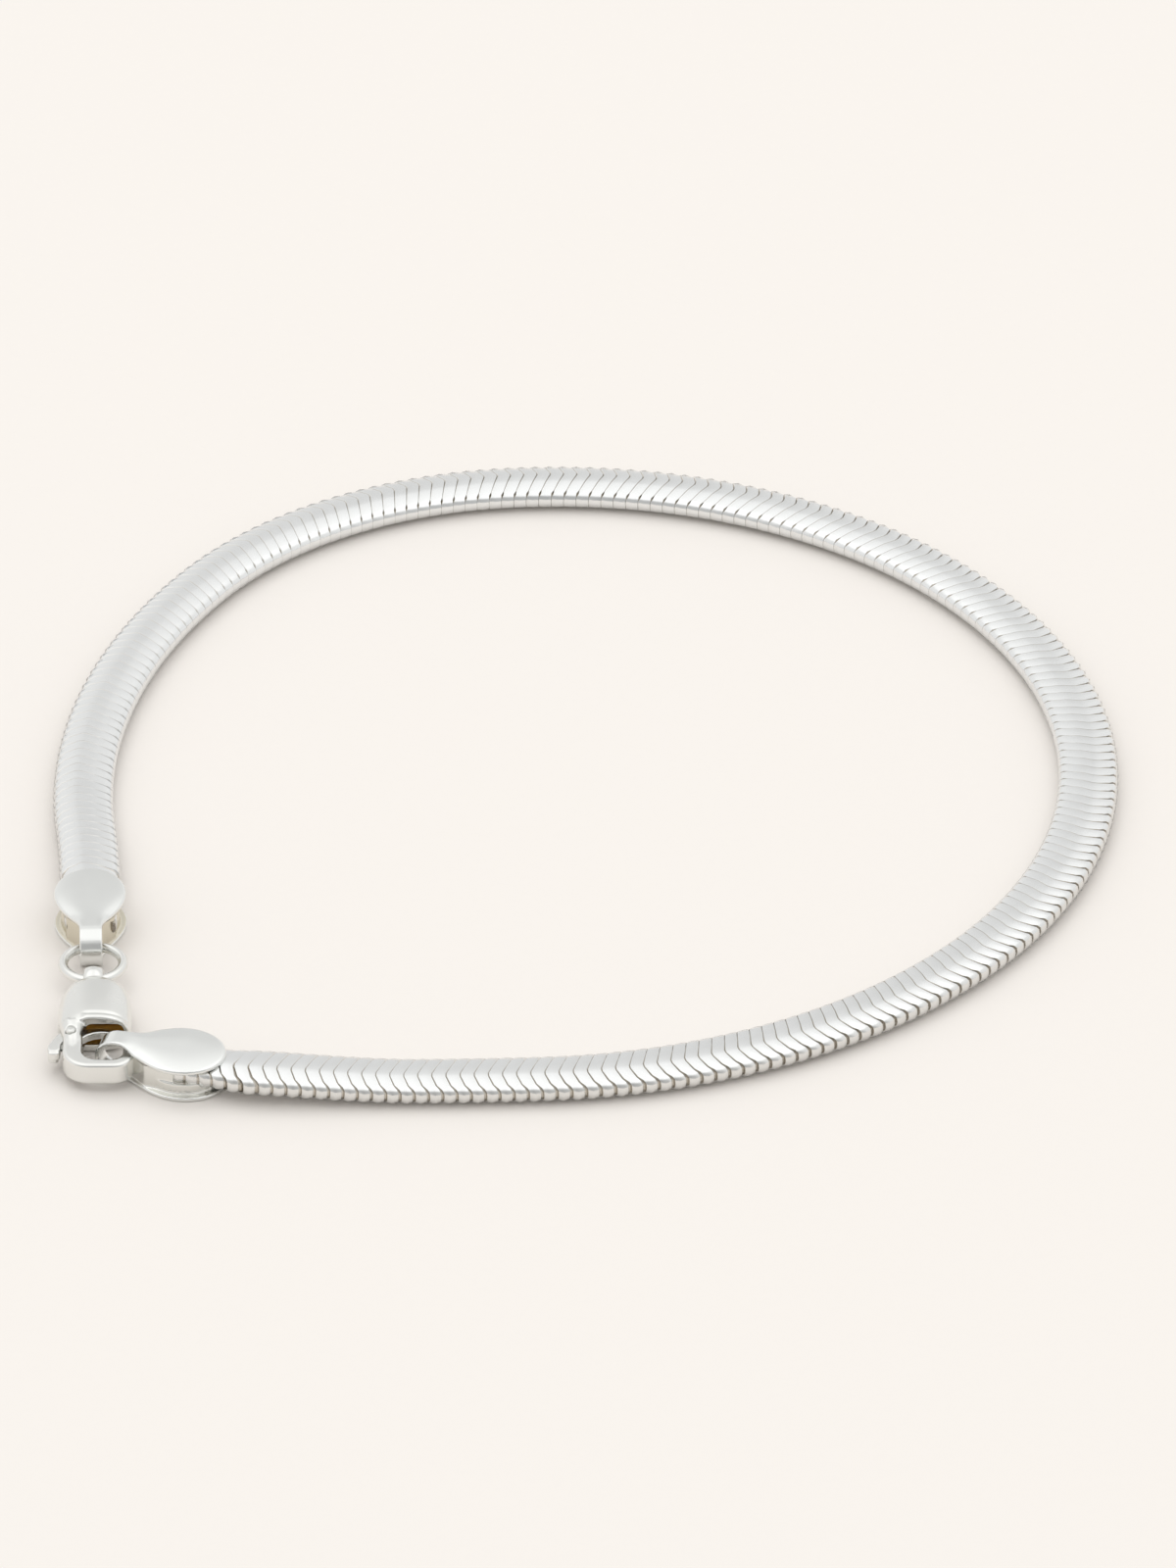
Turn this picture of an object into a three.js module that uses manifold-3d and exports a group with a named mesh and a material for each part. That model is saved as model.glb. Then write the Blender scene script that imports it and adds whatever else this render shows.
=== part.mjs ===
// Flattened snake-chain bracelet in polished silver, lying flat and fastened.
// Millimetres, +Z up. The origin is on the surface it lies on, under the middle of the loop.
import * as THREE from 'three';
import { mergeVertices } from 'three/addons/utils/BufferGeometryUtils.js';
import Module from 'manifold-3d';

const wasm = await Module();
wasm.setup();

// Chain
const chainWidth = 3.36;
const chainHeight = 1.42;
const linkPitch = 0.76;
const linkSides = 12;
const sectionPower = 3; // 2 is an ellipse, more is squarer
const grooveDepth = 0.11;
const linkWave = 0.26; // each link's edge runs this far ahead above and below, and behind at the sides
const stubWidth = 2.9; // the links held in an end cap are pressed smaller
const stubHeight = 1.36;
const stubLength = 3.4;
const mouthRoom = 0.5; // the smaller links begin this far before the cap
const liftLength = 14; // the chain rises to the end caps over this length

// Path of the chain's centre line, from the cap on the jump ring round to the cap on the hook
const pathStart = new THREE.Vector2(-27.32, -13.55);
const startHeading = 92.5;
const pathArcs = [
  { radius: 91.1, turn: -3.8 },
  { radius: 38.44, turn: 39.0 },
  { radius: 23.3, turn: 51.6 },
  { radius: 29.85, turn: 77.4 },
  { radius: 29.0, turn: 57.2 },
  { radius: 33.0, turn: 47.8 },
  { radius: 141.4, turn: 6.4 },
  { radius: 8.0, turn: 11.3 },
];

// End caps: two leaves joined by a strap that is folded round the ring or the hook
const capLength = 7.2;
const capHeight = 2.34;
const leafThick = 0.27;
const leafHalfWidth = 2.0;
const leafWidestAt = 2.4; // from the tip
const leafWaist = 4.1; // from the tip, where the leaf's edges draw in fastest
const leafBevel = 0.07;
const strapWidth = 1.24;
const strapThick = 0.25;
const strapLeg = 0.6; // straight length that lies in each leaf
const strapEase = 1.1; // the leaf runs out along the strap over this length
const plugFrom = 3.55; // solder plug behind the chain's end, from the tip
const plugTo = 4.6;
const plugFrontHalf = 1.3;
const plugBackHalf = 0.72;
const foldRadius = capHeight / 2;
const midHeight = capHeight / 2;

// Jump ring
const ringCentre = new THREE.Vector2(-27.04, -18.03);
const ringOuter = 3.82;
const ringWire = 0.54;

// Clasp, in its own frame: Y runs from the lip of the body to the tail
const claspPlace = new THREE.Vector2(-26.77, -24.9);
const bodySections = [
  { y: 5.0, halfWidth: 0.55, halfHeight: 0.42 },
  { y: 4.6, halfWidth: 1.05, halfHeight: 0.7 },
  { y: 4.0, halfWidth: 1.55, halfHeight: 0.95 },
  { y: 3.1, halfWidth: 1.88, halfHeight: 1.1 },
  { y: 1.8, halfWidth: 2.0, halfHeight: 1.17 },
  { y: 0.6, halfWidth: 2.0, halfHeight: 1.17 },
  { y: 0.0, halfWidth: 1.94, halfHeight: 1.1 },
];
const shoulderSections = [ // the body's left side, running down into the spine of the hook
  { x: -1.02, y: 0.9, halfWidth: 0.94, halfHeight: 1.08 },
  { x: -1.12, y: 0.1, halfWidth: 0.82, halfHeight: 1.04 },
  { x: -1.12, y: -0.7, halfWidth: 0.62, halfHeight: 0.9 },
  { x: -1.09, y: -1.4, halfWidth: 0.53, halfHeight: 0.72 },
  { x: -1.08, y: -2.2, halfWidth: 0.5, halfHeight: 0.6 },
];
const bodySides = 20;
const bodyPower = 2.3;
const eyeAt = { x: -0.2, y: 5.27 };
const eyeOuter = 0.78;
const eyeHole = 0.5;
const eyeWidth = 1.1;
const cavity = { left: -0.5, right: 1.62, back: 2.1, reach: 1, low: 0.5, high: 1.86 };
const cavityRound = 0.45;
const hookLow = 0.5;
const hookHigh = 1.8;
const hookBevel = 0.12;
const hook = { left: -1.62, right: 2.3, bottom: -3.8, root: 0.9, tip: -0.5 };
const hookWindow = { left: -0.55, right: 1.65, bottom: -3.1 };
const hookOuterRound = { left: 1.5, right: 1.2 };
const hookInnerRound = { left: 0.9, right: 0.7 };
const hookTipRound = 0.25;

// Clasp lever, turning on a rivet through the root of the hook
const pivot = new THREE.Vector2(-1.22, -0.7);
const rivetRadius = 0.17;
const rivetHole = 0.29;
const rivetBevel = 0.04;
const rivetEnds = { low: 0.3, high: 2.08 };
const leverLow = 0.93;
const leverHigh = 1.42;
const leverSlot = { left: -2.8, right: -0.4, front: -1.5, back: 0.42, low: 0.8, high: 1.55 };
const hubRadius = 0.46;
const hubCorner = 0.35;
const barEnd = new THREE.Vector2(1.2, -0.1);
const barHalf = 0.18;
const barArch = { x: -0.1, low: 0.35, high: 0.75 }; // where the arched bar's edges aim
const tab = { rootX: -1.55, rootY: -0.32, outX: -2.42, outY: -1.85, endY: -2.15, inX: -1.77, innerY: -1.15 };
const tabRound = 0.25;
const leverBevel = 0.05;

// Roundness of the small parts
const roundSteps = 10;
const cornerSteps = 6;
const wireSides = 10;
const ringSteps = 28;

const silver = { color: 0xc9cac8, metalness: 1.0, roughness: 0.18 };

function toSolid(geometry) {
  const plain = geometry.clone();
  plain.deleteAttribute('normal');
  plain.deleteAttribute('uv');
  const merged = mergeVertices(plain, 1e-4);
  const vertProperties = new Float32Array(merged.attributes.position.array);
  const triVerts = new Uint32Array(merged.index.array);
  return new wasm.Manifold(new wasm.Mesh({ numProp: 3, vertProperties, triVerts }));
}

function toGeometry(solid) {
  const mesh = solid.getMesh();
  const geometry = new THREE.BufferGeometry();
  geometry.setAttribute('position', new THREE.BufferAttribute(mesh.vertProperties, 3));
  geometry.setIndex(new THREE.BufferAttribute(mesh.triVerts, 1));
  return geometry;
}

function named(name, geometry) {
  geometry.computeVertexNormals();
  const mesh = new THREE.Mesh(geometry, new THREE.MeshStandardMaterial(silver));
  mesh.name = name;
  return mesh;
}

// A skin through closed rings of points, with a fan over each end
function loft(rings) {
  const sides = rings[0].length;
  const points = rings.flat();
  const faces = [];
  for (let ring = 0; ring < rings.length - 1; ring++) {
    for (let side = 0; side < sides; side++) {
      const next = (side + 1) % sides;
      const a = ring * sides + side;
      const b = ring * sides + next;
      faces.push(a, b, b + sides, a, b + sides, a + sides);
    }
  }
  const last = (rings.length - 1) * sides;
  for (let side = 1; side < sides - 1; side++) {
    faces.push(0, side + 1, side);
    faces.push(last, last + side, last + side + 1);
  }
  const geometry = new THREE.BufferGeometry().setFromPoints(points);
  geometry.setIndex(faces);
  return geometry;
}

// Rounded-oval section: across and up for an angle round the centre
function ovalPoint(angle, halfAcross, halfUp, power) {
  const bend = (value) => Math.sign(value) * Math.abs(value) ** (2 / power);
  return { across: halfAcross * bend(Math.cos(angle)), up: halfUp * bend(Math.sin(angle)) };
}

// The path as stretches with their own start point and heading
function makePath() {
  const stretches = [];
  let point = pathStart.clone();
  let heading = THREE.MathUtils.degToRad(startHeading);
  const rows = [{ straight: stubLength }, ...pathArcs, { straight: stubLength }];
  for (const row of rows) {
    const turn = row.straight ? 0 : -THREE.MathUtils.degToRad(row.turn);
    const length = row.straight ?? row.radius * Math.abs(turn);
    const stretch = { point, heading, turn, length };
    stretches.push(stretch);
    const end = alongStretch(stretch, length);
    point = end.point;
    heading = end.heading;
  }
  const length = stretches.reduce((sum, stretch) => sum + stretch.length, 0);
  return { stretches, length };
}

function alongStretch({ point, heading, turn, length }, distance) {
  const turned = turn * (distance / length);
  const half = turned / 2;
  const chord = distance * (half === 0 ? 1 : Math.sin(half) / half);
  const step = new THREE.Vector2(Math.cos(heading + half), Math.sin(heading + half)).multiplyScalar(chord);
  return { point: point.clone().add(step), heading: heading + turned };
}

function onPath(path, distance) {
  let left = distance;
  for (const stretch of path.stretches) {
    if (left <= stretch.length) return alongStretch(stretch, left);
    left -= stretch.length;
  }
  const final = path.stretches.at(-1);
  return alongStretch(final, final.length);
}

// Chain links: a crest ring and a groove ring for each, every ring bent fore and aft round its edge
function makeChain(path) {
  const linkCount = Math.round(path.length / linkPitch);
  const pitch = path.length / linkCount;
  const rings = [];
  for (let ring = 0; ring <= 2 * linkCount; ring++) {
    const distance = (ring / 2) * pitch;
    const fromEnd = Math.min(distance, path.length - distance);
    const inCap = fromEnd < stubLength + mouthRoom;
    const inset = ring % 2 === 0 ? grooveDepth : 0;
    const halfAcross = (inCap ? stubWidth : chainWidth) / 2 - inset;
    const halfUp = (inCap ? stubHeight : chainHeight) / 2 - inset;
    const rise = 1 - THREE.MathUtils.smoothstep(fromEnd, stubLength, liftLength);
    const centreHeight = THREE.MathUtils.lerp(chainHeight / 2, midHeight, rise);
    const wave = linkWave * THREE.MathUtils.smoothstep(fromEnd, 0, stubLength);
    const points = [];
    for (let side = 0; side < linkSides; side++) {
      const angle = (side / linkSides) * 2 * Math.PI;
      const { across, up } = ovalPoint(angle, halfAcross, halfUp, sectionPower);
      const place = onPath(path, distance - wave * Math.cos(2 * angle));
      const x = place.point.x - across * Math.sin(place.heading);
      const y = place.point.y + across * Math.cos(place.heading);
      points.push(new THREE.Vector3(x, y, centreHeight + up));
    }
    rings.push(points);
  }
  return named('snake_chain', loft(rings));
}

function extrudeUp(shape, low, high, bevel, curveSegments = roundSteps) {
  const geometry = new THREE.ExtrudeGeometry(shape, {
    depth: high - low - 2 * bevel,
    bevelEnabled: bevel > 0,
    bevelThickness: bevel,
    bevelSize: bevel,
    bevelOffset: -bevel,
    bevelSegments: 1,
    curveSegments,
  });
  return geometry.translate(0, 0, low + bevel);
}

function extrudeAcross(shape, width) {
  const settings = { depth: width, bevelEnabled: false, curveSegments: roundSteps };
  const geometry = new THREE.ExtrudeGeometry(shape, settings);
  return geometry.rotateX(Math.PI / 2).translate(0, width / 2, 0);
}

function leafShape() {
  const neck = capLength - foldRadius;
  const half = strapWidth / 2;
  const shape = new THREE.Shape();
  shape.moveTo(neck, -half);
  shape.bezierCurveTo(neck - strapEase, -half, leafWaist, -leafHalfWidth, leafWidestAt, -leafHalfWidth);
  shape.absellipse(leafWidestAt, 0, leafWidestAt, leafHalfWidth, 1.5 * Math.PI, 0.5 * Math.PI, true);
  shape.bezierCurveTo(leafWaist, leafHalfWidth, neck - strapEase, half, neck, half);
  return shape;
}

// Strap seen from the side: two legs that lie in the leaves, and the fold between them
function strapShape() {
  const legFrom = capLength - foldRadius - strapLeg;
  const foldAt = capLength - foldRadius;
  const outer = foldRadius - (leafThick - strapThick) / 2;
  const inner = outer - strapThick;
  const shape = new THREE.Shape();
  shape.moveTo(legFrom, midHeight - outer);
  shape.lineTo(foldAt, midHeight - outer);
  shape.absarc(foldAt, midHeight, outer, -Math.PI / 2, Math.PI / 2, false);
  shape.lineTo(legFrom, midHeight + outer);
  shape.lineTo(legFrom, midHeight + inner);
  shape.lineTo(foldAt, midHeight + inner);
  shape.absarc(foldAt, midHeight, inner, Math.PI / 2, -Math.PI / 2, true);
  shape.lineTo(legFrom, midHeight - inner);
  shape.closePath();
  return shape;
}

function plugShape() {
  const shape = new THREE.Shape();
  shape.moveTo(plugFrom, -plugFrontHalf);
  shape.lineTo(plugTo, -plugBackHalf);
  shape.lineTo(plugTo, plugBackHalf);
  shape.lineTo(plugFrom, plugFrontHalf);
  shape.closePath();
  return shape;
}

// One end cap in its own frame: the tip is at the origin and X runs to the fold
function makeEndCap(name) {
  const bite = leafThick / 3;
  const leaf = leafShape();
  const solid = toSolid(extrudeUp(leaf, 0, leafThick, leafBevel))
    .add(toSolid(extrudeUp(leaf, capHeight - leafThick, capHeight, leafBevel)))
    .add(toSolid(extrudeAcross(strapShape(), strapWidth)))
    .add(toSolid(extrudeUp(plugShape(), leafThick - bite, capHeight - leafThick + bite, 0)));
  return named(name, toGeometry(solid));
}

function placeCap(cap, chainEnd, headingToFold) {
  const group = new THREE.Group();
  group.position.set(
    chainEnd.x - stubLength * Math.cos(headingToFold),
    chainEnd.y - stubLength * Math.sin(headingToFold),
    0,
  );
  group.rotation.z = headingToFold;
  group.add(cap);
  return group;
}

function makeJumpRing() {
  const profile = [];
  for (let side = 0; side <= wireSides; side++) {
    const angle = (side / wireSides) * 2 * Math.PI;
    const radius = (ringOuter - ringWire) / 2 + (ringWire / 2) * Math.cos(angle);
    profile.push(new THREE.Vector2(radius, (ringWire / 2) * Math.sin(angle)));
  }
  const ring = named('jump_ring', new THREE.LatheGeometry(profile, ringSteps).rotateX(Math.PI / 2));
  ring.position.set(ringCentre.x, ringCentre.y, midHeight);
  return ring;
}

function bodyGeometry(sections) {
  const rings = sections.map(({ x = 0, y, halfWidth, halfHeight }) => {
    const points = [];
    for (let side = 0; side < bodySides; side++) {
      const { across, up } = ovalPoint((side / bodySides) * 2 * Math.PI, halfWidth, halfHeight, bodyPower);
      points.push(new THREE.Vector3(x + across, y, midHeight + up));
    }
    return points;
  });
  return loft(rings);
}

// The hook's outline from above: down the spine, round the bottom and up to the tip
function hookShape() {
  const { left, right, bottom, root, tip } = hook;
  const outer = hookOuterRound;
  const inner = hookInnerRound;
  const shape = new THREE.Shape();
  shape.moveTo(left, root);
  shape.lineTo(left, bottom + outer.left);
  shape.absarc(left + outer.left, bottom + outer.left, outer.left, Math.PI, 1.5 * Math.PI, false);
  shape.lineTo(right - outer.right, bottom);
  shape.absarc(right - outer.right, bottom + outer.right, outer.right, 1.5 * Math.PI, 2 * Math.PI, false);
  shape.lineTo(right, tip - hookTipRound);
  shape.absarc(right - hookTipRound, tip - hookTipRound, hookTipRound, 0, 0.5 * Math.PI, false);
  const tipLeft = hookWindow.right + hookTipRound;
  shape.absarc(tipLeft, tip - hookTipRound, hookTipRound, 0.5 * Math.PI, Math.PI, false);
  shape.lineTo(hookWindow.right, hookWindow.bottom + inner.right);
  const innerRight = hookWindow.right - inner.right;
  shape.absarc(innerRight, hookWindow.bottom + inner.right, inner.right, 2 * Math.PI, 1.5 * Math.PI, true);
  shape.lineTo(hookWindow.left + inner.left, hookWindow.bottom);
  const innerLeft = hookWindow.left + inner.left;
  shape.absarc(innerLeft, hookWindow.bottom + inner.left, inner.left, 1.5 * Math.PI, Math.PI, true);
  shape.lineTo(hookWindow.left, root);
  shape.closePath();
  return shape;
}

// Tail eye, round about the jump ring's wire
function eyeGeometry(radius, width) {
  const shape = disc({ x: eyeAt.y, y: midHeight }, radius);
  return extrudeAcross(shape, width).rotateZ(Math.PI / 2).translate(eyeAt.x, 0, 0);
}

function disc(centre, radius) {
  const shape = new THREE.Shape();
  shape.absarc(centre.x, centre.y, radius, 0, 2 * Math.PI, false);
  return shape;
}

// Arched opening at the front of the body, seen along Y
function cavityShape() {
  const { left, right, low, high } = cavity;
  const shape = new THREE.Shape();
  shape.moveTo(left, low);
  shape.lineTo(right, low);
  shape.lineTo(right, high - cavityRound);
  shape.absarc(right - cavityRound, high - cavityRound, cavityRound, 0, 0.5 * Math.PI, false);
  shape.absarc(left + cavityRound, high - cavityRound, cavityRound, 0.5 * Math.PI, Math.PI, false);
  shape.closePath();
  return shape;
}

function cavityGeometry() {
  const depth = cavity.back + cavity.reach;
  const settings = { depth, bevelEnabled: false, curveSegments: cornerSteps };
  const geometry = new THREE.ExtrudeGeometry(cavityShape(), settings);
  return geometry.rotateX(Math.PI / 2).translate(0, cavity.back, 0);
}

function slotGeometry() {
  const { left, right, front, back, low, high } = leverSlot;
  const box = new THREE.BoxGeometry(right - left, back - front, high - low);
  return box.translate((left + right) / 2, (front + back) / 2, (low + high) / 2);
}

function makeClaspBody() {
  const through = 2 * capHeight;
  const hookSolid = toSolid(extrudeUp(hookShape(), hookLow, hookHigh, hookBevel, cornerSteps));
  const solid = toSolid(bodyGeometry(bodySections))
    .add(toSolid(bodyGeometry(shoulderSections)))
    .subtract(toSolid(cavityGeometry()))
    .add(hookSolid)
    .add(toSolid(eyeGeometry(eyeOuter, eyeWidth)))
    .subtract(toSolid(eyeGeometry(eyeHole, 2 * eyeWidth)))
    .subtract(toSolid(slotGeometry()))
    .subtract(toSolid(extrudeUp(disc(pivot, rivetHole), 0, through, 0, cornerSteps)));
  return named('clasp_body', toGeometry(solid));
}

function leverShape() {
  const shape = new THREE.Shape();
  shape.moveTo(tab.rootX, tab.rootY);
  shape.lineTo(tab.outX, tab.outY);
  shape.quadraticCurveTo(tab.outX - tabRound / 3, tab.endY, (tab.outX + tab.inX) / 2, tab.endY);
  shape.quadraticCurveTo(tab.inX, tab.endY, tab.inX, tab.endY + tabRound);
  shape.lineTo(tab.inX, tab.innerY);
  shape.lineTo(pivot.x, pivot.y - hubRadius);
  shape.lineTo(pivot.x + hubCorner, pivot.y - hubCorner);
  shape.quadraticCurveTo(barArch.x, barArch.low, barEnd.x, barEnd.y - barHalf);
  shape.absarc(barEnd.x, barEnd.y, barHalf, -Math.PI / 2, Math.PI / 2, false);
  shape.quadraticCurveTo(barArch.x, barArch.high, pivot.x, pivot.y + hubRadius);
  shape.closePath();
  return shape;
}

function makeClaspLever() {
  const through = 2 * capHeight;
  const solid = toSolid(extrudeUp(leverShape(), leverLow, leverHigh, leverBevel, cornerSteps))
    .subtract(toSolid(extrudeUp(disc(pivot, rivetHole), 0, through, 0, cornerSteps)));
  return named('clasp_lever', toGeometry(solid));
}

function makeRivet() {
  const { low, high } = rivetEnds;
  return named('clasp_rivet', extrudeUp(disc(pivot, rivetRadius), low, high, rivetBevel, cornerSteps));
}

function makeBracelet() {
  const bracelet = new THREE.Group();
  const path = makePath();
  const end = onPath(path, path.length);
  const startAngle = THREE.MathUtils.degToRad(startHeading);
  const clasp = new THREE.Group();
  clasp.position.set(claspPlace.x, claspPlace.y, 0);
  clasp.add(makeClaspBody(), makeClaspLever(), makeRivet());
  bracelet.add(
    makeChain(path),
    placeCap(makeEndCap('ring_end_cap'), pathStart, startAngle + Math.PI),
    makeJumpRing(),
    clasp,
    placeCap(makeEndCap('hook_end_cap'), end.point, end.heading),
  );
  bracelet.updateMatrixWorld(true);
  const box = new THREE.Box3().setFromObject(bracelet);
  bracelet.position.set(-(box.min.x + box.max.x) / 2, -(box.min.y + box.max.y) / 2, -box.min.z);
  return bracelet;
}

export default makeBracelet();
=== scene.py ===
import math

import bmesh
import bpy
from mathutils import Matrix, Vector


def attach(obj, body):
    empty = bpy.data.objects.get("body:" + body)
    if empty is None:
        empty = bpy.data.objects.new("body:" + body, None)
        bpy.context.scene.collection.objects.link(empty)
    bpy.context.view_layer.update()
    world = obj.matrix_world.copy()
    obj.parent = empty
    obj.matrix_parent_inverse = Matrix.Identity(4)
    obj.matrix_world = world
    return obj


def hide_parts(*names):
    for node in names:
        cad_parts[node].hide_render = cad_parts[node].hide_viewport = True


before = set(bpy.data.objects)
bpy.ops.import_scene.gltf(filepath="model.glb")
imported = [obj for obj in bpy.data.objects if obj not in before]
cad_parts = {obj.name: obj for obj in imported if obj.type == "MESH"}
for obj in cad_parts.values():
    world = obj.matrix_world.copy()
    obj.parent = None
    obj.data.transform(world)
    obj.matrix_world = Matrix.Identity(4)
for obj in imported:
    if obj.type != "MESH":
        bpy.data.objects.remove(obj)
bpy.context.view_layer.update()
mm = 0.001
planShift = Vector((0.086264, -1.474084, 0.0))  # from the drawn plan to the part's own frame, in mm
scene = bpy.context.scene
print("frame loaded:", ", ".join(sorted(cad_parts)))


def toLinear(hexColour):
    values = []
    for place in (1, 3, 5):
        share = int(hexColour[place:place + 2], 16) / 255
        values.append(share / 12.92 if share <= 0.04045 else ((share + 0.055) / 1.055) ** 2.4)
    return (*values, 1.0)


# one node with its settings, its fixed inputs and its links
def addNode(tree, kind, settings=None, values=None, links=None):
    node = tree.nodes.new(kind)
    for key, value in (settings or {}).items():
        setattr(node, key, value)
    for key, value in (values or {}).items():
        node.inputs[key].default_value = value
    for key, source in (links or {}).items():
        tree.links.new(source, node.inputs[key])
    return node


def newMaterial(name):
    material = bpy.data.materials.new(name)
    material.use_nodes = True
    tree = material.node_tree
    return material, tree, tree.nodes["Principled BSDF"]


def linkObject(name, mesh):
    piece = bpy.data.objects.new(name, mesh)
    scene.collection.objects.link(piece)
    return piece


def plainMesh(piece, name):
    dg = bpy.context.evaluated_depsgraph_get()
    mesh = bpy.data.meshes.new_from_object(piece.evaluated_get(dg))
    mesh.name = name
    return mesh


# each finish's second colour is mixed in by a mesh attribute; on the links it is painted shade in the gaps between
# links and on the outer tips
silver = {
    "linkColour": "#EDEEEE", "sheetColour": "#EBECEA", "castColour": "#E9E9E6",
    "shadeAndToneColour": "#A39680", "capInsideTone": "#CFC5AC", "hollowColour": "#DCC28A",
    "linkRough": 0.2, "sheetRough": 0.17, "castRough": 0.22,
    "hazeSize": 1.6, "scratchSize": 0.12,  # mm
}


# Polished sterling silver: a bright mirror that is broken by faint haze from handling and
# by hairlines finer than the render shows, so the hairlines are drawn at 0.12 mm.
def polishedSilver(name, colour, rough, shadeAndToneColour=None):
    material, tree, shader = newMaterial(name)
    place = addNode(tree, "ShaderNodeTexCoord")
    haze = addNode(tree, "ShaderNodeTexNoise", values={"Scale": 1 / (silver["hazeSize"] * mm), "Detail": 3.0},
                   links={"Vector": place.outputs["Object"]})
    hairs = addNode(tree, "ShaderNodeTexNoise", values={"Scale": 1 / (silver["scratchSize"] * mm), "Detail": 2.0},
                    links={"Vector": place.outputs["Object"]})
    roughness = addNode(tree, "ShaderNodeMapRange", values={
        "From Min": 0.3, "From Max": 0.7, "To Min": rough * 0.8, "To Max": rough * 1.25},
        links={"Value": haze.outputs["Fac"]})
    bump = addNode(tree, "ShaderNodeBump", values={"Strength": 0.05, "Distance": 0.02 * mm},
                   links={"Height": hairs.outputs["Fac"]})
    tone = addNode(tree, "ShaderNodeMix", {"data_type": "RGBA"}, links={"Factor": haze.outputs["Fac"]})
    bright = toLinear(colour)
    tone.inputs["A"].default_value = [value * 0.97 for value in bright[:3]] + [1.0]
    tone.inputs["B"].default_value = bright
    colourOut = tone.outputs["Result"]
    # mixes towards the second colour where the mesh attribute is set: painted shade on the links, a beige band in the
    # caps, the gold inside of the clasp's hollow
    if shadeAndToneColour:
        shadeAndTone = addNode(tree, "ShaderNodeAttribute", {"attribute_name": "shadeAndTone"})
        dark = addNode(tree, "ShaderNodeMix", {"data_type": "RGBA"}, links={
            "Factor": shadeAndTone.outputs["Fac"], "A": colourOut})
        dark.inputs["B"].default_value = toLinear(shadeAndToneColour)
        colourOut = dark.outputs["Result"]
    tree.links.new(colourOut, shader.inputs["Base Color"])
    tree.links.new(roughness.outputs["Result"], shader.inputs["Roughness"])
    tree.links.new(bump.outputs["Normal"], shader.inputs["Normal"])
    shader.inputs["Metallic"].default_value = 1.0
    return material


linkSilver = polishedSilver(
    "polished sterling silver links", silver["linkColour"], silver["linkRough"], silver["shadeAndToneColour"])
sheetSilver = polishedSilver(
    "polished silver sheet", silver["sheetColour"], silver["sheetRough"], silver["capInsideTone"])
castSilver = polishedSilver(
    "polished cast silver", silver["castColour"], silver["castRough"], silver["hollowColour"])
print("finishes made")


chain = {
    "width": 3.36, "height": 1.42, "pitch": 0.76,
    "stubWidth": 2.9, "stubLength": 3.4, "mouthRoom": 0.5, "liftLength": 14.0, "capMiddle": 1.17,
    "start": (-27.32, -13.55), "heading": 92.5,
    "step": 0.25, "halfLength": 0.372, "outerTrim": 0.05, "pinAcross": -1.45, "pinTrim": 0.06, "pinDepth": 0.12,
    "apexAcross": 0.37, "innerSlant": 0.37, "outerSlant": 0.33, "apexAhead": 0.3, "tipTrail": 0.2, "tipShade": 0.15,
}
chainArcs = [  # radius in mm, turn to the right in degrees
    (91.1, -3.8), (38.44, 39.0), (23.3, 51.6), (29.85, 77.4),
    (29.0, 57.2), (33.0, 47.8), (141.4, 6.4), (8.0, 11.3),
]
# a link's section from the outer tip over the top to the inner tip and back below: across and up, in mm
linkSection = [
    (1.68, 0.0), (1.64, 0.3), (1.48, 0.47), (1.2, 0.55), (0.5, 0.69), (0.25, 0.71),
    (-0.25, 0.71), (-0.5, 0.69), (-1.2, 0.55), (-1.45, 0.47), (-1.64, 0.3), (-1.68, 0.0),
    (-1.64, -0.3), (-1.4, -0.5), (-0.5, -0.69), (0.5, -0.69), (1.4, -0.5), (1.64, -0.3),
]
# a link from the neck that tucks into the link behind to its lip:
# share of half length, inset on the top and at the outer tip, painted shade in the gap between links, crease
linkRows = [
    (-1.6, 0.09, 0.15, 0.75, False), (-1.02, 0.07, 0.14, 0.6, False), (-0.92, 0.012, 0.1, 0.05, True),
    (0.0, 0.0, 0.0, 0.0, False), (0.92, 0.018, 0.1, 0.0, True), (1.0, 0.07, 0.16, 0.6, False),
]


def chainPoints():
    points = []
    here = Vector(chain["start"])
    heading = math.radians(chain["heading"])
    rows = [(None, chain["stubLength"])] + chainArcs + [(None, chain["stubLength"])]
    for radius, turnOrLength in rows:
        turn = 0.0 if radius is None else -math.radians(turnOrLength)
        length = turnOrLength if radius is None else radius * abs(turn)
        steps = max(2, round(length / chain["step"]))
        for index in range(steps):
            half = turn * index / steps / 2
            chord = length * index / steps * (math.sin(half) / half if half else 1.0)
            points.append(here + chord * Vector((math.cos(heading + half), math.sin(heading + half))))
        half = turn / 2
        here = here + length * (math.sin(half) / half if half else 1.0) * Vector(
            (math.cos(heading + half), math.sin(heading + half)))
        heading += turn
    points.append(here)
    return points


def smoothStep(value, low, high):
    share = min(1.0, max(0.0, (value - low) / (high - low)))
    return share * share * (3 - 2 * share)


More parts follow.
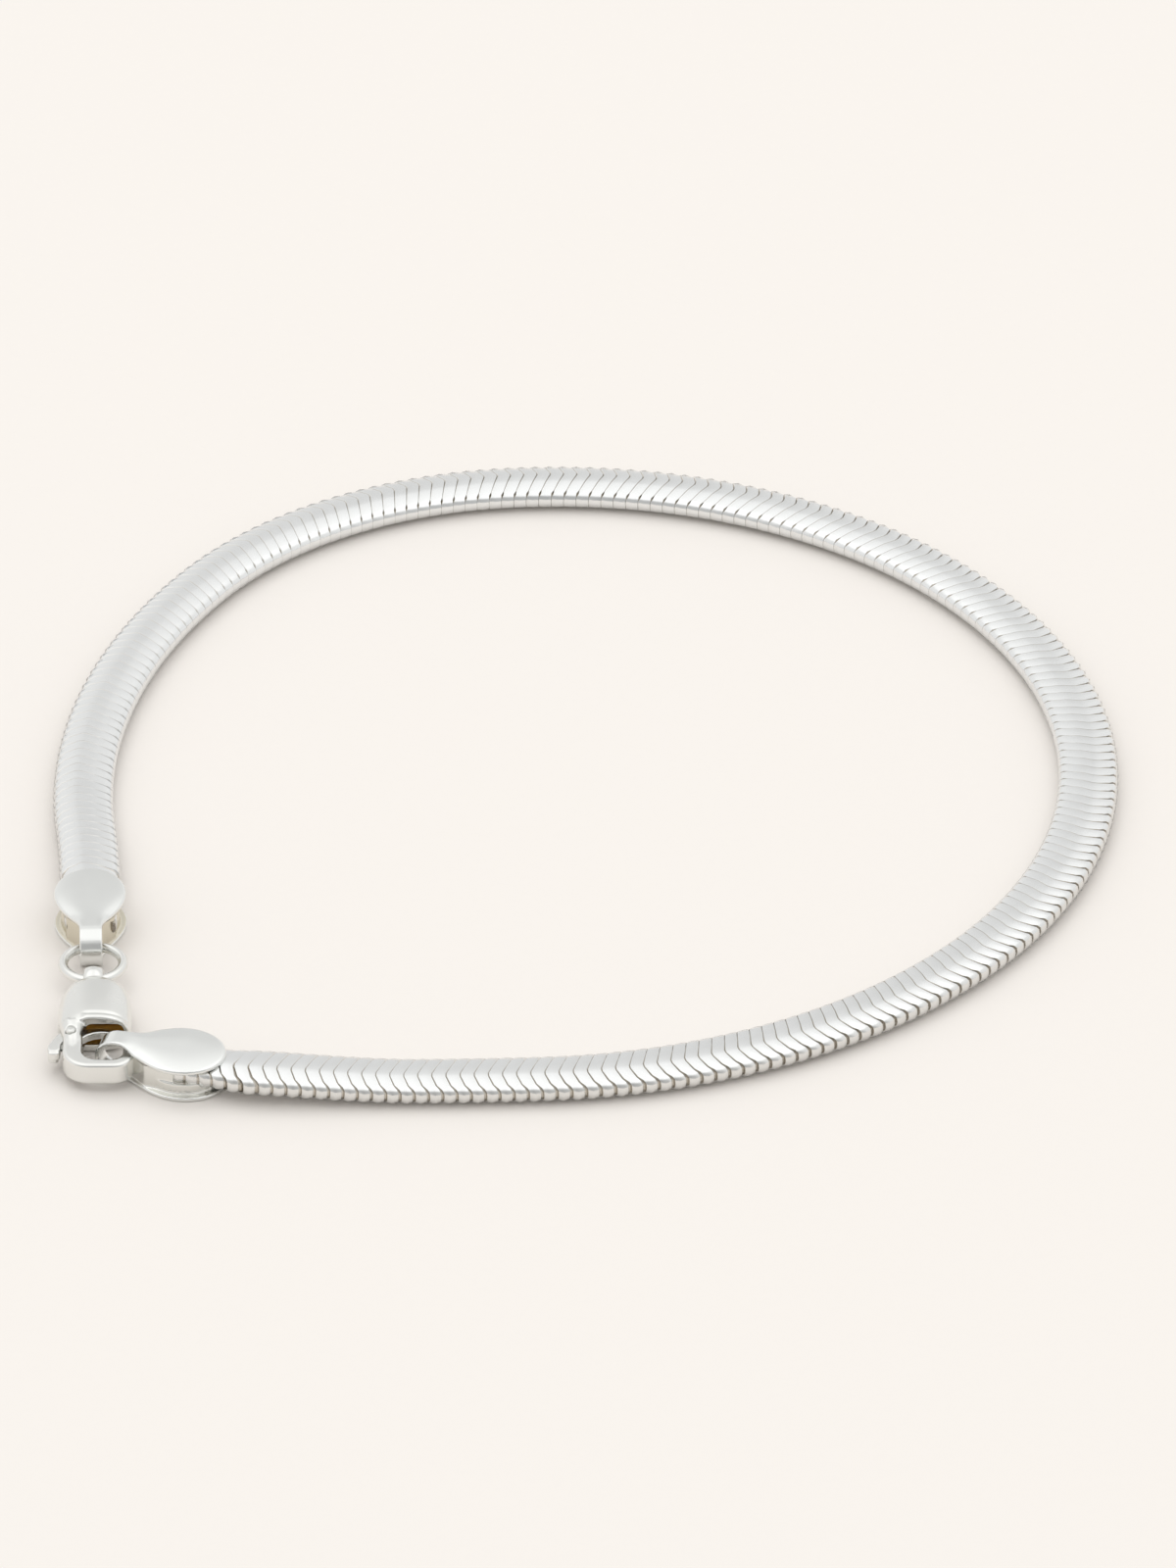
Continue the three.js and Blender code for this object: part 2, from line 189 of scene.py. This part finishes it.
def chainCurve():
    points = chainPoints()
    along = [0.0]
    for before, after in zip(points, points[1:]):
        along.append(along[-1] + (after - before).length)
    curve = bpy.data.curves.new("chainPath", "CURVE")
    curve.dimensions = "3D"
    spline = curve.splines.new("POLY")
    spline.points.add(len(points) - 1)
    for point, distance, target in zip(points, along, spline.points):
        fromEnd = min(distance, along[-1] - distance)
        rise = 1 - smoothStep(fromEnd, chain["stubLength"], chain["liftLength"])
        height = chain["height"] / 2 + rise * (chain["capMiddle"] - chain["height"] / 2)
        place = (Vector((point.x, point.y, height)) + planShift) * mm
        target.co = (*place, 1.0)
        inCap = fromEnd < chain["stubLength"] + chain["mouthRoom"]
        target.radius = chain["stubWidth"] / chain["width"] if inCap else 1.0
    return linkObject("chainPath", curve), along[-1]


# one wavy link: X along the chain towards the hook, Y to the outside of the loop, Z up
def linkMesh():
    sides = len(linkSection)
    verts, faces, shades = [], [], []
    for share, topInset, tipInset, shade, crease in linkRows:
        for across, up in linkSection:
            outer = smoothStep(across, 1.1, 1.66)
            slant = chain["outerSlant"] if across > chain["apexAcross"] else chain["innerSlant"]
            ahead = chain["apexAhead"] - slant * abs(across - chain["apexAcross"]) - chain["tipTrail"] * outer
            half = chain["halfLength"] - chain["outerTrim"] * outer
            if across == chain["pinAcross"]:
                half -= chain["pinTrim"]
            inset = topInset + outer * (tipInset - topInset)
            if across == chain["pinAcross"] and share < -0.95:
                inset += chain["pinDepth"]
            place = Vector((ahead + share * half, across * (1 - inset / 1.68), up * (1 - inset / 0.71)))
            verts.append((place * mm)[:])
            # painted shade: the side walls of the outer tips are darkened
            shades.append(max(shade, chain["tipShade"] * smoothStep(across, 1.5, 1.66)))
    for row in range(len(linkRows) - 1):
        for side in range(sides):
            a, b = row * sides + side, row * sides + (side + 1) % sides
            faces.append((a, a + sides, b + sides, b))
    faces.append(range(sides))
    faces.append(range(len(verts) - sides, len(verts)))
    mesh = bpy.data.meshes.new("link")
    mesh.from_pydata(verts, [], faces)
    shadeAndTone = mesh.attributes.new("shadeAndTone", "FLOAT", "POINT")
    shadeAndTone.data.foreach_set("value", shades)
    bm = bmesh.new()
    bm.from_mesh(mesh)
    bmesh.ops.recalc_face_normals(bm, faces=bm.faces)
    bm.to_mesh(mesh)
    bm.free()
    mesh.polygons.foreach_set("use_smooth", [True] * len(mesh.polygons))
    creased = mesh.attributes.new("sharp_edge", "BOOLEAN", "EDGE")
    rows = [(edge.vertices[0] // sides, edge.vertices[1] // sides) for edge in mesh.edges]
    creased.data.foreach_set("value", [a == b and linkRows[a][4] for a, b in rows])
    return linkObject("link", mesh)


# links set along the path, each squeezed where an end cap holds it
def linkTree():
    tree = bpy.data.node_groups.new("snakeChainLinks", "GeometryNodeTree")
    face = tree.interface
    face.new_socket("Geometry", in_out="INPUT", socket_type="NodeSocketGeometry")
    face.new_socket("Link count", in_out="INPUT", socket_type="NodeSocketInt")
    face.new_socket("Link", in_out="INPUT", socket_type="NodeSocketObject")
    face.new_socket("Finish", in_out="INPUT", socket_type="NodeSocketMaterial")
    face.new_socket("Geometry", in_out="OUTPUT", socket_type="NodeSocketGeometry")
    given = addNode(tree, "NodeGroupInput")
    spots = addNode(tree, "GeometryNodeCurveToPoints", {"mode": "COUNT"}, links={
        "Curve": given.outputs["Geometry"], "Count": given.outputs["Link count"]})
    ahead = addNode(tree, "FunctionNodeAlignRotationToVector", {"axis": "X"}, links={
        "Vector": spots.outputs["Tangent"]})
    upright = addNode(tree, "FunctionNodeAlignRotationToVector", {"axis": "Z", "pivot_axis": "X"},
                      values={"Vector": (0, 0, 1)}, links={"Rotation": ahead.outputs["Rotation"]})
    squeeze = addNode(tree, "GeometryNodeInputRadius")
    size = addNode(tree, "ShaderNodeCombineXYZ", values={"X": 1.0, "Z": 1.0}, links={"Y": squeeze.outputs["Radius"]})
    linkShape = addNode(tree, "GeometryNodeObjectInfo", links={"Object": given.outputs["Link"]})
    placed = addNode(tree, "GeometryNodeInstanceOnPoints", links={
        "Points": spots.outputs["Points"], "Instance": linkShape.outputs["Geometry"],
        "Rotation": upright.outputs["Rotation"], "Scale": size.outputs["Vector"]})
    real = addNode(tree, "GeometryNodeRealizeInstances", links={"Geometry": placed.outputs["Instances"]})
    finish = addNode(tree, "GeometryNodeSetMaterial", links={
        "Geometry": real.outputs["Geometry"], "Material": given.outputs["Finish"]})
    addNode(tree, "NodeGroupOutput", links={"Geometry": finish.outputs["Geometry"]})
    return tree


def makeChain():
    path, length = chainCurve()
    link = linkMesh()
    tree = linkTree()
    holder = linkObject("linkHolder", path.data)
    modifier = holder.modifiers.new("links", "NODES")
    modifier.node_group = tree
    sockets = {item.name: item.identifier for item in tree.interface.items_tree if item.in_out == "INPUT"}
    settings = {
        "Link count": round(length / chain["pitch"]) + 1,
        "Link": link,
        "Finish": linkSilver,
    }
    for name, value in settings.items():
        modifier[sockets[name]] = value
    mesh = plainMesh(holder, "snakeChainMesh")
    for spare in (holder, path, link):
        bpy.data.objects.remove(spare)
    return linkObject("snake_chain_links", mesh)


chainPiece = makeChain()
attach(chainPiece, "bracelet")
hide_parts("snake_chain")
print("chain made:", len(chainPiece.data.polygons), "faces")


# a closed upright prism from an outline in mm
def addPrism(bm, outline, low, high):
    lower = [bm.verts.new((x * mm, y * mm, low * mm)) for x, y in outline]
    upper = [bm.verts.new((x * mm, y * mm, high * mm)) for x, y in outline]
    faces = [bm.faces.new(list(reversed(lower))), bm.faces.new(upper)]
    for index in range(len(outline)):
        after = (index + 1) % len(outline)
        faces.append(bm.faces.new((lower[index], lower[after], upper[after], upper[index])))
    bmesh.ops.recalc_face_normals(bm, faces=faces)


# the solid's own form with its edges polished round, as tumbling leaves a casting
def polishedForm(part):
    node = part["node"]
    bm = bmesh.new()
    bm.from_mesh(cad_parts[node].data)
    bmesh.ops.remove_doubles(bm, verts=bm.verts, dist=0.0005 * mm)
    for outline, low, high in part["prisms"]:
        addPrism(bm, outline, low, high)
    mesh = bpy.data.meshes.new(node + "Form")
    bm.to_mesh(mesh)
    bm.free()
    holder = linkObject(node + "Form", mesh)
    remesh = holder.modifiers.new("remesh", "REMESH")
    remesh.mode = "VOXEL"
    remesh.voxel_size = part["voxel"] * mm
    soften = holder.modifiers.new("soften", "SMOOTH")
    soften.factor = 0.5
    soften.iterations = part["passes"]
    formed = plainMesh(holder, node + "Mesh")
    bpy.data.objects.remove(holder)
    formed.attributes.new("shadeAndTone", "FLOAT", "POINT")
    bm = bmesh.new()
    bm.from_mesh(formed)
    shades = part["reshape"](bm) if part["reshape"] else [0.0] * len(bm.verts)
    bm.to_mesh(formed)
    bm.free()
    formed.attributes["shadeAndTone"].data.foreach_set("value", shades)
    formed.materials.clear()
    formed.materials.append(part["finish"])
    formed.polygons.foreach_set("use_smooth", [True] * len(formed.polygons))
    piece = linkObject(node + "_polished", formed)
    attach(piece, part["body"])
    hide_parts(node)
    print("polished:", node, len(formed.polygons), "faces")


cap = {
    "halfWidth": 2.0, "widestAt": 2.4, "neck": 6.03, "neckHalf": 0.62,
    "voxel": 0.05, "passes": 7, "droop": 0.16,
    "solder": [(2.5, -1.54), (4.2, -1.32), (5.2, -0.6), (5.2, 0.6), (4.2, 1.32), (2.5, 1.54)],
    "bedMiddle": 2.5, "bedLength": 2.1, "bedHalf": 1.62, "bedSides": 28,
}


def leafHalfWidth(along):
    if along < cap["widestAt"]:
        share = min(1.0, (cap["widestAt"] - along) / cap["widestAt"])
        return cap["halfWidth"] * math.sqrt(1 - share * share)
    share = smoothStep(along, cap["widestAt"], cap["neck"])
    return cap["halfWidth"] + share * (cap["neckHalf"] - cap["halfWidth"])


# upper leaf pressed to a shallow dome; solder fills the hollow round the chain's end
def makeCap(node, chainEnd, ahead, tint, lean):
    tip = chainEnd - ahead * chain["stubLength"] + planShift.xy
    side = Vector((-ahead.y, ahead.x))

    def placed(outline):
        return [tuple(tip + ahead * u + side * v) for u, v in outline]

    def reshape(bm):
        shades = []
        bm.normal_update()
        for vert in bm.verts:
            offset = vert.co.xy / mm - tip
            along, across, height = offset.dot(ahead), offset.dot(side), vert.co.z / mm
            share = min(1.0, abs(across) / max(0.3, leafHalfWidth(along)))
            reach = max(0.0, (cap["widestAt"] - along) / cap["widestAt"])
            rim = min(1.0, math.hypot(share if reach == 0 else abs(across) / cap["halfWidth"], reach))
            fade = 1 - smoothStep(along, 4.6, 5.8)
            if height > 1.9:
                sideShare = (max(-1.0, min(1.0, across / cap["halfWidth"])) + 1) / 2
                vert.co.z -= (cap["droop"] * rim ** 3 + lean * sideShare) * fade * mm
            # the band between the leaves, round the chain's end, gets a beige tone by tint, stronger on the ring-end
            # cap
            inner = 0.24 < height < 2.1 and 0.2 < along < 6.0
            shades.append(tint if inner else 0.0)
        return shades

    turns = [2 * math.pi * index / cap["bedSides"] for index in range(cap["bedSides"])]
    bed = [(cap["bedMiddle"] + cap["bedLength"] * math.cos(turn), cap["bedHalf"] * math.sin(turn)) for turn in turns]
    polishedForm({
        "node": node, "voxel": cap["voxel"], "passes": cap["passes"], "finish": sheetSilver,
        "body": "bracelet", "slot": "cap_silver", "reshape": reshape,
        "prisms": [(placed(cap["solder"]), 0.15, 2.19), (placed(bed), 0.15, 0.88), (placed(bed), 1.6, 2.19)],
    })


pathPoints = chainPoints()
makeCap("ring_end_cap", pathPoints[0], (pathPoints[0] - pathPoints[1]).normalized(), 0.7, 0.0)
makeCap("hook_end_cap", pathPoints[-1], (pathPoints[-1] - pathPoints[-2]).normalized(), 0.15, 0.2)


clasp = {
    "place": (-26.77, -24.9), "middle": 1.17, "power": 2.3, "voxel": 0.055, "passes": 7,
    "sections": [  # from the lip to the tail: y, half width, half height
        (0.0, 1.94, 1.1), (0.6, 2.0, 1.17), (1.8, 2.0, 1.17), (3.1, 1.88, 1.1),
        (4.0, 1.55, 0.95), (4.6, 1.05, 0.7), (5.0, 0.55, 0.42),
    ],
    "lipAt": 0.16, "lipWidth": 0.2, "lipRise": 0.1, "grooveAt": 0.5, "grooveDepth": 0.06,
    "cavityMiddle": (0.56, 1.18), "tailFrom": 4.5, "tailPasses": 10, "tailX": -0.2, "tailHalf": 0.55, "tailCrown": 0.26,
}
claspOrigin = Vector(clasp["place"]) + planShift.xy


# smooth curve through one column of the sections
def sectionValue(along, column):
    rows = clasp["sections"]
    last = len(rows) - 2
    index = max(0, min(last, sum(1 for row in rows[1:] if row[0] <= along)))
    a, b = rows[index], rows[index + 1]
    before, after = rows[max(0, index - 1)], rows[min(last + 1, index + 2)]
    span = b[0] - a[0]
    slopeA = (b[column] - before[column]) / (b[0] - before[0]) * span
    slopeB = (after[column] - a[column]) / (after[0] - a[0]) * span
    t = (along - a[0]) / span
    return (a[column] * (2 * t ** 3 - 3 * t * t + 1) + slopeA * (t ** 3 - 2 * t * t + t)
            + b[column] * (3 * t * t - 2 * t ** 3) + slopeB * (t ** 3 - t * t))


# egg-shaped body trued to its curve, with a rolled lip over the window and a dark inside
def reshapeClasp(bm):
    tail = [vert for vert in bm.verts if vert.co.y / mm - claspOrigin.y > clasp["tailFrom"]]
    for turn in range(clasp["tailPasses"]):
        bmesh.ops.smooth_vert(bm, verts=tail, factor=0.5, use_axis_x=True, use_axis_y=True, use_axis_z=True)
    for vert in tail:
        x = vert.co.x / mm - claspOrigin.x - clasp["tailX"]
        share = smoothStep(vert.co.y / mm - claspOrigin.y, clasp["tailFrom"], clasp["tailFrom"] + 0.4)
        squash = 1 - share * clasp["tailCrown"] * min(1.0, (x / clasp["tailHalf"]) ** 2)
        vert.co.z = (clasp["middle"] + (vert.co.z / mm - clasp["middle"]) * squash) * mm
    bm.normal_update()
    shades = []
    for vert in bm.verts:
        x, y = vert.co.x / mm - claspOrigin.x, vert.co.y / mm - claspOrigin.y
        z = vert.co.z / mm - clasp["middle"]
        shade = 0.0
        if -0.3 < y < 4.9:
            away = Vector((x, 0, z))
            facing = vert.normal.dot(away.normalized()) if away.length > 0.01 else 0.0
            width, height = sectionValue(max(0.0, y), 1), sectionValue(max(0.0, y), 2)
            fill = (abs(x) / width) ** clasp["power"] + (abs(z) / height) ** clasp["power"]
            if facing > 0.2 and 0.7 < fill < 1.2 and y > 0.02:
                weight = smoothStep(y, 0.02, 0.25) * (1 - smoothStep(y, 4.4, 4.8)) * smoothStep(facing, 0.2, 0.45)
                scale = 1 + weight * (fill ** (-1 / clasp["power"]) - 1)
                vert.co.x = (claspOrigin.x + x * scale) * mm
                vert.co.z = (clasp["middle"] + z * scale) * mm
            if z > 0.5 and x > -0.75 and facing > 0:
                reach = smoothStep(x, -0.75, -0.3) * smoothStep(z, 0.5, 0.75)
                rise = clasp["lipRise"] * math.exp(-((y - clasp["lipAt"]) / clasp["lipWidth"]) ** 2)
                dip = clasp["grooveDepth"] * math.exp(-((y - clasp["grooveAt"]) / 0.12) ** 2)
                vert.co.z += (rise - dip) * reach * mm
            middleX, middleZ = clasp["cavityMiddle"]
            inward = (x - middleX) * vert.normal.x + (vert.co.z / mm - middleZ) * vert.normal.z
            if -0.56 < x < 1.75 and y < 2.2 and abs(z) < 0.76 and (inward < 0 or vert.normal.y < -0.6):
                shade = smoothStep(y, -0.1, 0.5)
        shades.append(shade)
    return shades


polishedForm({
    "node": "clasp_body", "voxel": clasp["voxel"], "passes": clasp["passes"], "finish": castSilver,
    "body": "bracelet", "slot": "clasp_silver", "reshape": reshapeClasp, "prisms": [],
})


lever = {
    "voxel": 0.035, "passes": 6, "finLow": 0.87, "finHigh": 1.48,
    "fin": [(-1.45, 0.2), (-1.98, -0.45), (-2.42, -1.4), (-2.44, -1.75), (-2.3, -1.95),
            (-1.92, -1.95), (-1.77, -1.8), (-1.74, -1.3), (-1.45, -0.6)],
    "pad": [(-2.0, -0.6), (-2.42, -1.4), (-2.46, -1.75), (-2.32, -1.97), (-1.97, -1.97), (-1.86, -1.8), (-1.86, -1.1)],
    "padLow": 0.66, "padHigh": 1.5,
}
polishedForm({
    "node": "clasp_lever", "voxel": lever["voxel"], "passes": lever["passes"], "finish": castSilver,
    "body": "lever", "slot": "clasp_silver", "reshape": None,
    "prisms": [
        ([tuple(claspOrigin + Vector(point)) for point in lever["fin"]], lever["finLow"], lever["finHigh"]),
        ([tuple(claspOrigin + Vector(point)) for point in lever["pad"]], lever["padLow"], lever["padHigh"]),
    ],
})

rivet = {
    "centre": (-1.22, -0.7), "headRadius": 0.265, "low": 0.34, "high": 2.05, "sides": 24,
    "voxel": 0.02, "passes": 6,
}
rivetTurns = [2 * math.pi * index / rivet["sides"] for index in range(rivet["sides"])]
rivetCentre = claspOrigin + Vector(rivet["centre"])
rivetRound = [tuple(rivetCentre + rivet["headRadius"] * Vector((math.cos(turn), math.sin(turn))))
              for turn in rivetTurns]
polishedForm({
    "node": "clasp_rivet", "voxel": rivet["voxel"], "passes": rivet["passes"], "finish": castSilver,
    "body": "bracelet", "slot": "clasp_silver", "reshape": None,
    "prisms": [(rivetRound, rivet["low"], rivet["high"])],
})


jumpRing = {"centre": (-27.04, -18.03, 1.17), "outer": 3.82, "wire": 0.54, "steps": 96, "sides": 24}


def makeJumpRing():
    centre = Vector(jumpRing["centre"]) + planShift
    middle = (jumpRing["outer"] - jumpRing["wire"]) / 2
    wire = jumpRing["wire"] / 2
    steps, sides = jumpRing["steps"], jumpRing["sides"]
    verts, faces = [], []
    for step in range(steps):
        turn = 2 * math.pi * step / steps
        for side in range(sides):
            angle = 2 * math.pi * side / sides
            reach = middle + wire * math.cos(angle)
            offset = Vector((reach * math.cos(turn), reach * math.sin(turn), wire * math.sin(angle)))
            verts.append(((centre + offset) * mm)[:])
            a, b = step * sides + side, step * sides + (side + 1) % sides
            ahead = sides * ((step + 1) % steps) - step * sides
            faces.append((a, a + ahead, b + ahead, b))
    mesh = bpy.data.meshes.new("jumpRingMesh")
    mesh.from_pydata(verts, [], faces)
    mesh.polygons.foreach_set("use_smooth", [True] * len(mesh.polygons))
    mesh.materials.append(castSilver)
    return linkObject("jump_ring_wire", mesh)


ringPiece = makeJumpRing()
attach(ringPiece, "bracelet")
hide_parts("jump_ring")
print("jump ring made")


studio = {
    "floorColour": "#EFEAE5", "floorSize": 6.0, "floorRough": 0.6, "paperGrain": 0.6,
    "skyLow": 0.785, "skyHigh": 1.18, "skyFrom": 0.5, "skyTo": 0.92,
    "sideLift": 0.14, "frontShade": 0.6, "skyColour": "#FFFFFE",
    "softboxSize": 1.6, "softboxPower": 7.0, "softboxPlace": (-0.5, 1.2, 2.2),
    "lookAt": (0.086264, -1.474084, 1.0), "elevation": 33.5, "distance": 711.1, "lens": 292.5,
}


# Matt card: an even warm white, with a grain too fine to show drawn at 0.6 mm
def makeFloor():
    half = studio["floorSize"] / 2
    mesh = bpy.data.meshes.new("floor")
    mesh.from_pydata([(-half, -half, 0), (half, -half, 0), (half, half, 0), (-half, half, 0)], [], [(0, 1, 2, 3)])
    material, tree, shader = newMaterial("matt card")
    place = addNode(tree, "ShaderNodeTexCoord")
    grain = addNode(tree, "ShaderNodeTexNoise", values={"Scale": 1 / (studio["paperGrain"] * mm)},
                    links={"Vector": place.outputs["Object"]})
    tone = addNode(tree, "ShaderNodeMix", {"data_type": "RGBA"}, links={"Factor": grain.outputs["Fac"]})
    colour = toLinear(studio["floorColour"])
    tone.inputs["A"].default_value = [value * 0.99 for value in colour[:3]] + [1.0]
    tone.inputs["B"].default_value = colour
    tree.links.new(tone.outputs["Result"], shader.inputs["Base Color"])
    shader.inputs["Roughness"].default_value = studio["floorRough"]
    shader.inputs["Specular IOR Level"].default_value = 0.0
    mesh.materials.append(material)
    floor = linkObject("floor", mesh)


def makeLight():
    world = bpy.data.worlds.new("studio")
    scene.world = world
    world.use_nodes = True
    tree = world.node_tree
    place = addNode(tree, "ShaderNodeTexCoord")
    split = addNode(tree, "ShaderNodeSeparateXYZ", links={"Vector": place.outputs["Generated"]})
    overhead = addNode(tree, "ShaderNodeMapRange", {"interpolation_type": "SMOOTHSTEP"}, values={
        "From Min": studio["skyFrom"], "From Max": studio["skyTo"],
        "To Min": studio["skyLow"], "To Max": studio["skyHigh"]}, links={"Value": split.outputs["Z"]})
    aside = addNode(tree, "ShaderNodeMath", {"operation": "ABSOLUTE"}, links={0: split.outputs["X"]})
    lift = addNode(tree, "ShaderNodeMapRange", {"interpolation_type": "SMOOTHSTEP"}, values={
        "From Min": 0.05, "From Max": 0.3, "To Max": studio["sideLift"]}, links={"Value": aside.outputs["Value"]})
    front = addNode(tree, "ShaderNodeMapRange", {"interpolation_type": "SMOOTHSTEP"}, values={
        "From Min": -0.85, "From Max": -0.35, "To Min": studio["frontShade"]}, links={"Value": split.outputs["Y"]})
    total = addNode(tree, "ShaderNodeMath", {"operation": "ADD"}, links={
        0: overhead.outputs["Result"], 1: lift.outputs["Result"]})
    level = addNode(tree, "ShaderNodeMath", {"operation": "MULTIPLY"}, links={
        0: total.outputs["Value"], 1: front.outputs["Result"]})
    background = tree.nodes["Background"]
    background.inputs["Color"].default_value = toLinear(studio["skyColour"])
    tree.links.new(level.outputs["Value"], background.inputs["Strength"])
    lamp = bpy.data.lights.new("softbox", "AREA")
    lamp.size = studio["softboxSize"]
    lamp.energy = studio["softboxPower"]
    softbox = bpy.data.objects.new("softbox", lamp)
    scene.collection.objects.link(softbox)
    softbox.location = studio["softboxPlace"]
    softbox.visible_glossy = False  # it gives the floor its soft shadow, and the silver mirrors the even sky
    softbox.rotation_euler = (-Vector(studio["softboxPlace"])).to_track_quat("-Z", "Y").to_euler()


def makeCamera():
    camera = bpy.data.objects.new("camera", bpy.data.cameras.new("camera"))
    scene.collection.objects.link(camera)
    camera.data.lens = studio["lens"]
    camera.data.sensor_width = 36.0
    camera.data.clip_start = 0.01
    target = Vector(studio["lookAt"]) * mm
    rise = math.radians(studio["elevation"])
    away = Vector((0, -math.cos(rise), math.sin(rise)))
    camera.location = target + away * studio["distance"] * mm
    camera.rotation_euler = (-away).to_track_quat("-Z", "Y").to_euler()
    scene.camera = camera


makeFloor()
makeLight()
makeCamera()
scene.view_settings.view_transform = "Standard"
print("studio made")
